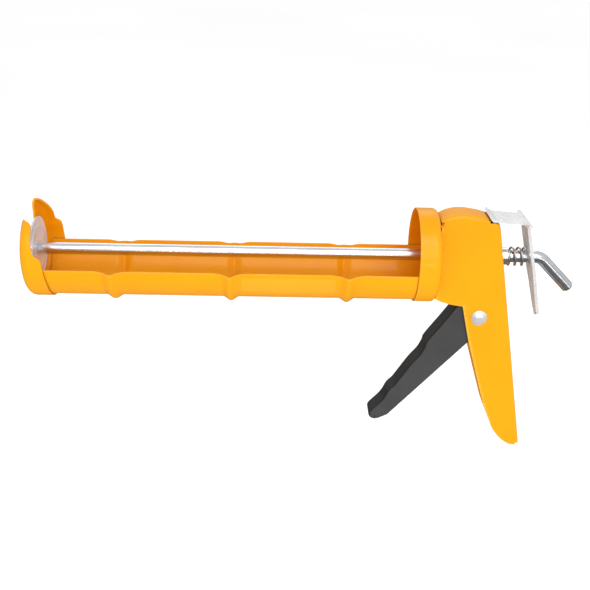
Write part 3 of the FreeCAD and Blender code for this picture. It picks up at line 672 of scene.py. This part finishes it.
handle_spine = chained(
    smooth_through([(234.9, 23.7), (240.1, 26.3), (247.5, 27.5), (256.5, 26.4), (262.6, 24.8),
                    (266.2, 23.7)], 56),
    smooth_through([(266.2, 23.7), (268.7, 21.7), (269.88, 18.0)], 17),
    evened([(269.88, 18.0), (297.0, -123.2)], 130))
handle_rim = chained(
    smooth_through([(235.1, 22.2), (236.3, 21.3), (237.0, 19.9)], 7),
    evened([(237.0, 19.9), (237.0, -21.5)], 54),
    evened([(237.0, -21.5), (235.2, -24.4)], 5),
    smooth_through([(235.2, -24.4), (239.2, -26.3), (243.2, -27.5), (248.3, -28.5), (252.3, -29.0)], 20),
    smooth_through([(252.3, -29.0), (257.8, -51.0), (263.6, -70.0), (270.1, -90.6), (272.7, -98.6)], 76),
    smooth_through([(272.7, -98.6), (278.5, -111.9), (283.8, -119.1), (289.7, -123.7), (294.6, -124.7)], 44))
near, folded, far = channel_surface(handle_spine, handle_rim, handle_half, handle_fold, 16, 14)
bend = quarter_round((237.0, handle_half + handle_wall), handle_wall, -180, -90, 5)[:-1]
flange = np.vstack([evened([(flange_face, flange_edge), (flange_face, handle_half + handle_wall)], 5)[:-1],
                    bend])
flange_near = np.stack([np.broadcast_to(flange[:, 0], (len(near), len(flange))),
                        np.broadcast_to(-flange[:, 1], (len(near), len(flange))),
                        np.broadcast_to(handle_rim[:, 1:], (len(near), len(flange)))], -1)
flange_far = flange_near[:, ::-1] * np.array([1, -1, 1])
handle_points = np.concatenate([flange_near, near, folded, far, flange_far], axis=1)
rows, columns = handle_points.shape[:2]
handle_faces = grid_faces(rows, columns)
row, column = handle_faces[:, 0] // columns, handle_faces[:, 0] % columns
on_flange = (column < len(flange)) | (column >= columns - len(flange) - 1)
flange_row = (row >= flange_rows[0]) & (row < flange_rows[1])
spine_x = handle_spine[row, 0]
first_fold = len(flange) + near.shape[1]
on_fold = (column >= first_fold) & (column < first_fold + folded.shape[1] - 1)
cell_z = handle_points[row, column, 2]
in_window = on_fold & (spine_x > window_front) & (cell_z > window_low)
handle_faces = handle_faces[~(on_flange & ~flange_row) & ~in_window]
tongue_y, tongue_z = np.meshgrid(np.linspace(-tongue_half, tongue_half, 7),
                                 np.linspace(tongue_low, tongue_high, 6), indexing="ij")
tongue = np.stack([np.full_like(tongue_y, tongue_face), tongue_y, tongue_z], -1)
handle = make_piece("handle", [(handle_points * mm, handle_faces), (tongue * mm, grid_faces(7, 6))], yellow)
finish_sheet(handle, handle_wall)
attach(handle, "frame")
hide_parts("handle_frame")

# ------------------------------------------------------------------ handle rivets
# Four steel rivets clamp the handle's flanges to the ring's wall, painted over with the frame.
# The trigger swings on one big plated rivet, set after painting. All heads are low domes.


def plated_steel(name, tone=(0.82, 0.83, 0.85), rough=(0.16, 0.34), metal=1.0):
    """Zinc-plated steel: pale, with small crystals in the plating and fine handling scuffs."""
    material, tree = new_material(name)
    place = add(tree, "ShaderNodeTexCoord").outputs["Object"]
    cloud = use_group(tree, mottle, place, Coarse=120.0, Fine=1400.0)
    edge_mask = use_group(tree, edge_wear_and_highlight, place, Scale=900.0, Amount=0.6)
    film = use_group(tree, dust, place, Scale=150.0, Amount=0.12)
    crystals = add(tree, "ShaderNodeTexVoronoi", Scale=700.0)
    tree.links.new(place, crystals.inputs["Vector"])
    dim = tuple(0.82 * value for value in tone)
    colour = mix_colour(tree, cloud.outputs["Value"], dim, tone)
    spots = between(tree, crystals.outputs["Distance"], 0.0, 0.25)
    colour = mix_colour(tree, spots, colour, tuple(0.75 * value for value in tone))
    colour = mix_colour(tree, edge_mask.outputs["Mask"], colour, (0.95, 0.95, 0.96))
    colour = mix_colour(tree, film.outputs["Mask"], colour, (0.55, 0.53, 0.50))
    shader = add(tree, "ShaderNodeBsdfPrincipled", Metallic=metal)
    tree.links.new(colour, shader.inputs["Base Color"])
    tree.links.new(between(tree, cloud.outputs["Fine Value"], *rough), shader.inputs["Roughness"])
    end_material(tree, shader, cloud.outputs["Fine Value"], 0.10, 0.0001)
    return material


def rivet_head(radius, height, seat=0.3):
    """A low dome from its pole to its rim, a short straight side, and a closed underside."""
    ball = (radius ** 2 + (height - 0.3) ** 2) / (2 * (height - 0.3))
    widest = math.asin(radius / ball)
    angle = np.linspace(0, widest, 14)
    cap_line = np.stack([0.3 + (height - 0.3) - ball * (1 - np.cos(angle)), ball * np.sin(angle)], 1)
    side = [(0.15, radius + 0.05), (0.0, radius)]
    return np.vstack([cap_line, side, [(-seat, radius - 0.2), (-seat, 0.0)]])


zinc = plated_steel("zinc_plate")
rivet_y, rivet_z = 12.8, 11.0
small_head = rivet_head(2.65, 1.2)
heads = []
for y in (-rivet_y, rivet_y):
    for z in (-rivet_z, rivet_z):
        heads.append(turned(small_head, 32, (flange_face, y, z)))
        heads.append(turned(small_head, 32, (ring_back - cup_wall, y, z), sign=-1))
rivets = make_piece("flange_rivets", heads, yellow)
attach(rivets, "frame")
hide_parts("frame_rivets")

pivot_centre = (262.6, 0.0, -36.3)
big_head = rivet_head(4.75, 2.0)
pivot_points = [turned(big_head, 56, (pivot_centre[0], side * handle_half, pivot_centre[2]), "Y", side)
                for side in (-1, 1)]
shank = [(handle_half, 0.0), (handle_half, 3.0), (-handle_half, 3.0), (-handle_half, 0.0)]
pivot_points.append(turned(evened(shank, 25), 40, pivot_centre, "Y"))
rivet_steel = plated_steel("zinc_rivet", (0.86, 0.86, 0.88), (0.14, 0.30), 0.45)
pivot = make_piece("trigger_rivet", pivot_points, rivet_steel)
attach(pivot, "frame")
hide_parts("trigger_pivot_rivet")

# ------------------------------------------------------------------ trigger
# A lever folded from 1.2 mm sheet round the fingers' side, open towards the palm, with fine
# grip ribs rolled across its web. Stoved in satin black.
trigger_half = 6.7
trigger_wall = 1.2
trigger_fold = 1.7
grip_pitch = 1.5
grip_rise = 0.10
black_deep, black_pale = (0.050, 0.050, 0.051), (0.064, 0.064, 0.066)
# Below: a near black painted as shade on the faces that look forward, a grey painted as a highlight on the
# folds, and dust.
black_front_shade, black_fold_highlight, black_dust = (0.012, 0.012, 0.012), (0.22, 0.22, 0.23), (0.12, 0.12, 0.115)


def black_enamel(name):
    """Satin black powder coat: fine pimples, a grey bloom, paler on the folds as a painted highlight,
    and near black on the faces that look forward as a painted shade."""
    material, tree = new_material(name)
    place = add(tree, "ShaderNodeTexCoord").outputs["Object"]
    cloud = use_group(tree, mottle, place, Coarse=45.0, Fine=1800.0)
    edge_mask = use_group(tree, edge_wear_and_highlight, place, Scale=900.0, Amount=0.12)
    film = use_group(tree, dust, place, Scale=120.0, Amount=0.05)
    colour = mix_colour(tree, cloud.outputs["Value"], black_deep, black_pale)
    # Painted shade: faces whose normal looks forward (towards -x) darken to near black.
    parts = add(tree, "ShaderNodeSeparateXYZ")
    front_face_shade = map_range(tree, From_Min=-0.25, From_Max=-0.60, To_Max=0.85)
    tree.links.new(add(tree, "ShaderNodeTexCoord").outputs["Normal"], parts.inputs[0])
    tree.links.new(parts.outputs["X"], front_face_shade.inputs["Value"])
    colour = mix_colour(tree, front_face_shade.outputs["Result"], colour, black_front_shade)
    # Painted highlight: the folds turn grey where the edge mask is set.
    colour = mix_colour(tree, edge_mask.outputs["Mask"], colour, black_fold_highlight)
    colour = mix_colour(tree, film.outputs["Mask"], colour, black_dust)
    shader = add(tree, "ShaderNodeBsdfPrincipled")
    shader.inputs["Specular IOR Level"].default_value = 0.18
    tree.links.new(colour, shader.inputs["Base Color"])
    tree.links.new(between(tree, cloud.outputs["Fine Value"], 0.30, 0.50), shader.inputs["Roughness"])
    end_material(tree, shader, cloud.outputs["Fine Value"], 0.25, 0.0001)
    return material


def from_pivot(*offsets):
    return np.array(offsets) + np.array([pivot_centre[0], pivot_centre[2]])


tip_centre = from_pivot((-58.0, -68.8))[0]
boss_centre = np.array([270.33, -12.52])
trigger_spine = chained(
    quarter_round(tip_centre, 3.6, -78, -222, 22),
    smooth_through(np.vstack([quarter_round(tip_centre, 3.6, -222, -222, 1), from_pivot(
        (-54.0, -58.6), (-50.6, -51.8), (-47.2, -47.9), (-44.6, -43.8), (-38.3, -33.6), (-33.2, -26.8),
        (-30.7, -21.4), (-29.2, -17.0), (-20.3, -4.0), (-10.6, 10.8))]), 380))
trigger_rim = chained(
    evened([(206.6, -107.9), (212.6, -104.9)], 40),
    evened(chained(np.array([(212.6, -104.9)]), from_pivot((-4.0, -16.4))[[0, 0]]), 240),
    smooth_through(from_pivot((-4.0, -16.4), (4.2, -8.4), (8.6, -1.8)), 41),
    evened([from_pivot((8.6, -1.8))[0], boss_centre + (3.7, 0.0)], 31),
    quarter_round(boss_centre, 3.7, 0, 128, 31),
    evened([boss_centre + 3.7 * np.array([math.cos(math.radians(128)), math.sin(math.radians(128))]),
            (254.2, -25.0)], 23))
along_trigger = np.concatenate([[0.0], np.cumsum(np.linalg.norm(np.diff(trigger_spine, axis=0), axis=1))])
grip = grip_rise * 0.5 * (1 + np.cos(2 * np.pi * along_trigger / grip_pitch)) - grip_rise
near, folded, far = channel_surface(trigger_spine, trigger_rim, trigger_half, trigger_fold, 14, 12, grip)
trigger_points = np.concatenate([near, folded, far], axis=1)
black = black_enamel("black_enamel")
trigger = make_piece("trigger", [(trigger_points * mm, grid_faces(*trigger_points.shape[:2]))], black)
finish_sheet(trigger, trigger_wall, 0.2)
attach(trigger, "trigger")
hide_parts("trigger_lever")

# ------------------------------------------------------------------ push rod
# A bright cold-drawn bar, peened over at the front to hold the piston and bent down at the
# back for a finger to pull. Its end is chamfered.
rod_radius = 3.5
rod_bend_x = 292.5
rod_bend_radius = 9.0


def bright_bar(name):
    """Cold-drawn bar: fine lines along its length, soft bright and grey bands, a thin oil film."""
    material, tree = new_material(name)
    place = add(tree, "ShaderNodeTexCoord").outputs["Object"]
    stretch = add(tree, "ShaderNodeMapping")
    stretch.inputs["Scale"].default_value = (0.06, 1.0, 1.0)
    tree.links.new(place, stretch.inputs["Vector"])
    lines = use_group(tree, mottle, stretch.outputs[0], Coarse=260.0, Fine=2600.0)
    edge_mask = use_group(tree, edge_wear_and_highlight, place, Scale=900.0, Amount=0.5)
    film = use_group(tree, dust, place, Scale=80.0, Amount=0.10)
    colour = mix_colour(tree, lines.outputs["Value"], (0.60, 0.61, 0.63), (0.78, 0.79, 0.81))
    colour = mix_colour(tree, edge_mask.outputs["Mask"], colour, (0.95, 0.95, 0.96))
    colour = mix_colour(tree, film.outputs["Mask"], colour, (0.45, 0.42, 0.38))
    shader = add(tree, "ShaderNodeBsdfPrincipled", Metallic=1.0)
    tree.links.new(colour, shader.inputs["Base Color"])
    tree.links.new(between(tree, lines.outputs["Fine Value"], 0.14, 0.30), shader.inputs["Roughness"])
    end_material(tree, shader, lines.outputs["Fine Value"], 0.15, 0.0001)
    return material


def swept(path, side, radii, sides):
    """A round section carried along a path: at each station a circle of that station's radius in
    the plane of the side vector and side x way."""
    way = np.gradient(path, axis=0)
    way /= np.linalg.norm(way, axis=1)[:, None]
    side = np.broadcast_to(side, path.shape)
    other = np.cross(side, way)
    angle = np.linspace(0, 2 * math.pi, sides, endpoint=False)
    ring_of = (side[:, None] * np.cos(angle)[None, :, None] + other[:, None] * np.sin(angle)[None, :, None])
    points = path[:, None] + np.asarray(radii)[:, None, None] * ring_of
    return points * mm, grid_faces(len(path), sides, wrap_columns=True)


bend_turn = np.radians(np.linspace(0, 45, 28))
bend_xz = np.stack([rod_bend_x + rod_bend_radius * np.sin(bend_turn),
                    -rod_bend_radius * (1 - np.cos(bend_turn))], 1)
tail_way = np.array([math.cos(math.radians(45)), -math.sin(math.radians(45))])
front_stations = [(1.45, 0.0), (1.5, 1.6), (1.7, 3.0), (1.95, 4.0), (2.15, 4.4), (2.2, 4.2), (2.21, 2.6),
                  (3.85, 2.6), (3.86, 3.1), (4.15, 3.42), (4.5, 3.5)]
straight = np.linspace(8.0, rod_bend_x, 60)
front = np.array(front_stations)
tail_far = np.array([4.0, 10.0, 16.0, 21.0, 22.7, 23.3, 23.76, 23.85, 23.85])
tail_radius = np.array([3.5, 3.5, 3.5, 3.5, 3.5, 2.95, 2.45, 2.2, 0.0])
rod_xz = np.vstack([np.stack([front[:, 0], 0 * front[:, 0]], 1),
                    np.stack([straight, 0 * straight], 1)[:-1], bend_xz,
                    bend_xz[-1] + tail_far[:, None] * tail_way])
rod_xz[-1] += 0.01 * tail_way
rod_radii = np.concatenate([front[:, 1], np.full(len(straight) - 1 + len(bend_xz), rod_radius), tail_radius])
rod_path = np.stack([rod_xz[:, 0], 0 * rod_xz[:, 0], rod_xz[:, 1]], 1)
rod = make_piece("rod", [swept(rod_path, np.array([0.0, 1.0, 0.0]), rod_radii, 56)], bright_bar("bright_bar"))
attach(rod, "rod")
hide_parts("push_rod")

# ------------------------------------------------------------------ piston
# A pressed plate of 1 mm steel, plated: a raised hub, a shallow dish and a rim turned back to
# stiffen it. The rod's peened end clamps it through a washer.
piston_line = np.vstack([
    [(3.8, 2.66), (3.8, 6.0), (3.95, 7.2), (4.1, 8.4), (4.1, 11.4), (4.45, 12.2), (4.5, 12.8),
     (4.15, 13.6), (4.1, 15.0)],
    [(4.1, 17.2), (4.16, 17.34), (4.3, 17.4), (4.36, 17.9), (4.3, 18.4)],
    quarter_round((4.3, 17.2), 1.2, 90, 180, 10)[1:],
    [(3.1, 15.0), (3.15, 13.6), (3.5, 12.8), (3.45, 12.2), (3.1, 11.4), (3.1, 8.4), (2.95, 7.4),
     (2.8, 6.5), (2.8, 2.66)],
])
piston_steel = plated_steel("zinc_piston", (0.86, 0.90, 0.98), (0.12, 0.26), 0.15)
piston = make_piece("piston", [turned(piston_line, 96, closed=True)], piston_steel)
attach(piston, "piston")
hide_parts("piston_disc")

# ------------------------------------------------------------------ springs
# Two compression springs coiled from hard-drawn wire: one drives the gripping plates back
# inside the handle, the other presses the release plate back on the rod behind it.
spring_wire = 1.2


def coil_surface(x0, x1, radius, turns, sides, phase=0.0):
    """Wire carried along a helix: x runs evenly but slows over the first and last half turn, so
    that the end coils lie nearly flat, and the wire's ends are rounded off."""
    count = int(turns * 40)
    turn = np.linspace(0, turns, count)
    rate = np.clip(np.minimum(turn, turns - turn) / 0.6, 0.25, 1.0)
    run = np.concatenate([[0.0], np.cumsum((rate[1:] + rate[:-1]) / 2)])
    x = x0 + spring_wire / 2 + (x1 - x0 - spring_wire) * run / run[-1]
    angle = 2 * np.pi * turn + phase
    outward = np.stack([0 * angle, np.cos(angle), np.sin(angle)], 1)
    path = radius * outward
    path[:, 0] = x
    far = np.minimum(turn, turns - turn) * 2 * np.pi * radius
    short = np.clip(1 - far / (spring_wire / 2), 0, 1)
    return swept(path, outward, spring_wire / 2 * np.sqrt(1 - short ** 2), sides)


spring_steel = plated_steel("spring_wire", (0.55, 0.56, 0.58), (0.22, 0.42))
drive_spring = make_piece("drive_spring_wire", [coil_surface(235.8, 264.08, 5.9, 7.0, 14)], spring_steel)
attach(drive_spring, "frame")
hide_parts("drive_spring")
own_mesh(drive_spring)
release_coil = coil_surface(276.4, 287.5, 5.1, 3.0, 16, 2.0)
release_spring = make_piece("release_spring_wire", [release_coil], spring_steel)
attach(release_spring, "frame")
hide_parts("release_spring")
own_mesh(release_spring)

# ------------------------------------------------------------------ release plate
# A stamped and folded 1.8 mm blade, plated: it leans on the rod, a thumb tab stands out at its
# top bend, and its arm hooks under a lip in the handle's top.
release_wall = 1.8
release_lean = 0.24
release_axis_x = 290.0
hole_radius = 3.9
hole_slot = 1.8


def leaning(z):
    return np.array([release_axis_x - release_lean * z, z])


def release_surface():
    """The folded line in side view carried sideways: each row runs from the rod's hole, or from
    the middle where there is none, out to that row's half width."""
    arm = smooth_through([(263.9, 27.0), (264.9, 25.7), (266.2, 25.2), (269.0, 24.9), (275.0, 24.4),
                          (281.0, 24.0), (284.0, 23.85), (285.2, 23.5), (285.75, 22.6),
                          (286.05, 20.9), leaning(18.6) + (0.87, 0.2)], 120)
    upper = evened([arm[-1], leaning(5.7) + (0.87, 0.2)], 24)
    hole = 0.5 * (1 - np.cos(np.linspace(0, np.pi, 36)))[:, None]
    beside = upper[-1] + hole * (leaning(-3.9) + (0.87, 0.2) - upper[-1])
    lower = evened([beside[-1], leaning(-36.3) + (0.87, 0.0)], 120)
    line = chained(arm, upper, beside, lower)
    far = np.concatenate([[0.0], np.cumsum(np.linalg.norm(np.diff(line, axis=0), axis=1))])
    z = line[:, 1]
    bend_at = far[np.argmin(np.abs(line[:120, 0] - 284.7))]
    width = np.full(len(line), 8.4)
    width = np.where(far < 2.6, 9.6, width)
    ear = np.clip(1 - np.abs(far - bend_at) / 3.0, 0, 1)
    width = np.maximum(width, 8.4 + 6.2 * np.minimum(ear * 1.7, 1) * (ear > 0))
    on_blade = far > far[119]
    drop = np.where(on_blade, z, 30.0)
    blade = np.interp(drop, [-36.4, -36.0, -35.0, -33.5, -31.5, -28.0, -17.0, -11.0, -8.0, 20.0],
                      [0.5, 2.0, 3.4, 4.3, 4.8, 5.0, 6.2, 8.0, 8.4, 8.4])
    width = np.where(on_blade, blade, width)
    off = np.where(z > hole_slot, z - hole_slot, np.where(z < 0, z, 0.0))
    across_hole = np.sqrt(np.clip(hole_radius ** 2 - off ** 2, 0, None))
    gap = np.where(on_blade & (z < 5.71) & (z > -3.91), across_hole, 0.0)
    gap = np.where(gap < 0.05, 0.0, gap)
    share = np.linspace(0, 1, 16)[None, :]
    y = gap[:, None] + share * (width - gap)[:, None]
    way = np.gradient(line, axis=0)
    way /= np.linalg.norm(way, axis=1)[:, None]
    outward = np.stack([-way[:, 1], way[:, 0]], 1)
    crease = np.exp(-(y / 1.5) ** 2) * 0.5 * np.clip((-6.0 - z) / 3.0, 0, 1)[:, None] * on_blade[:, None]
    xz = line[:, None] - outward[:, None] * crease[..., None]
    right = np.stack([xz[..., 0], y, xz[..., 1]], -1)
    left = right * np.array([1, -1, 1])
    rows, columns = y.shape
    return (right * mm, grid_faces(rows, columns)), (left * mm, grid_faces(rows, columns, flip=True))


release_steel = plated_steel("release_plating", (0.88, 0.88, 0.89), (0.20, 0.38), 0.30)
release = make_piece("release_blade", list(release_surface()), release_steel)
finish_sheet(release, release_wall, 0.3)
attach(release, "release")
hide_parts("release_plate")

# ------------------------------------------------------------------ small turned and pressed parts
# Bushes, washers, spacer, push pin and the two gripping plates: plain plated steel, mostly inside
# the handle. They keep the shapes they were designed with.
for name in ("front_rod_bush", "rear_rod_bush", "drive_spring_washer", "pivot_spacer", "pivot_washers",
             "trigger_push_pin", "front_drive_plate", "rear_drive_plate", "piston_washer"):
    node = nodes[name]
    node.data.materials.clear()
    node.data.materials.append(zinc)
